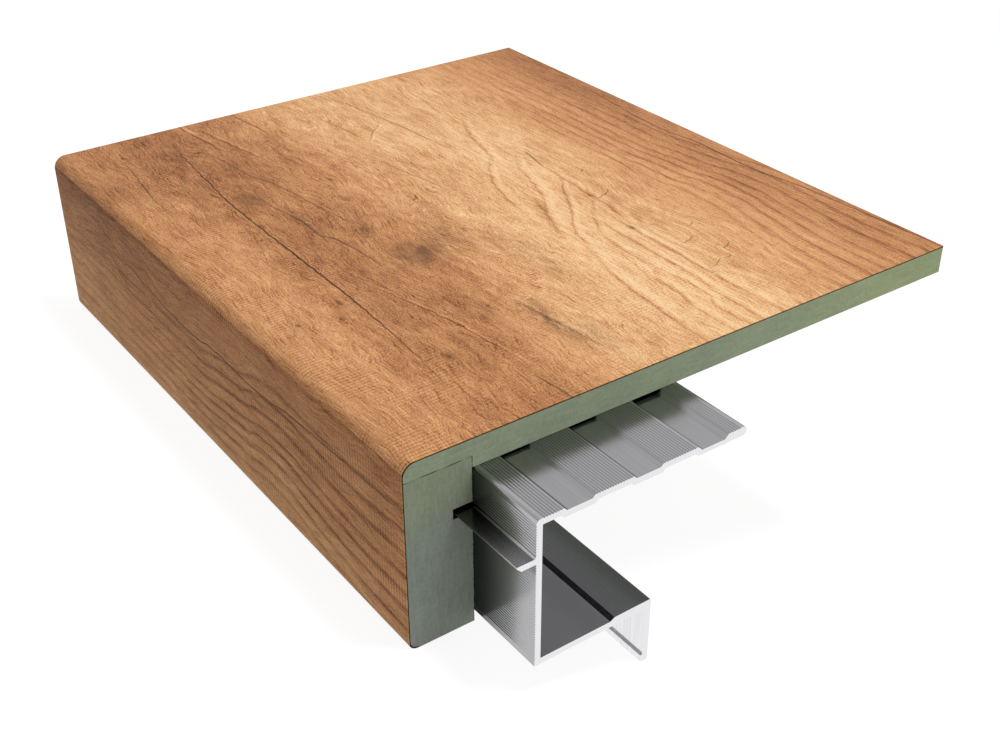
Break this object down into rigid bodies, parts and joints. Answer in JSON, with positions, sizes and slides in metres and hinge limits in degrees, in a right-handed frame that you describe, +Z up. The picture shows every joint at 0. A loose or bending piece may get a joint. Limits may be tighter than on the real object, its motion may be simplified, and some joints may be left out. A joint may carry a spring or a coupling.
{
  "type": "stair tread",
  "caption": "Sample length of stair tread: laminated fibreboard with a rounded nosing on a ribbed aluminium profile that wraps an old step.",
  "frame": {"origin": "centre of the bounding box, on the floor the tread rests on", "axes": "+X along the nosing towards the end where the profile projects, +Y level from the nosing to the back, +Z up"},
  "size_m": [0.239, 0.1808, 0.1025],
  "materials": {
    "board_core": "green moisture-resistant fibreboard, sawn edges",
    "block_core": "green moisture-resistant fibreboard, sawn edges",
    "decor": "satin laminate with a rustic oak decor",
    "aluminium": "mill-finish extrusion with fine ribs"
  },
  "bodies": {
    "root": {"tread_board": "board_core", "nose_block": "block_core", "decor_laminate": "decor", "support_profile": "aluminium"}
  },
  "joints": []
}
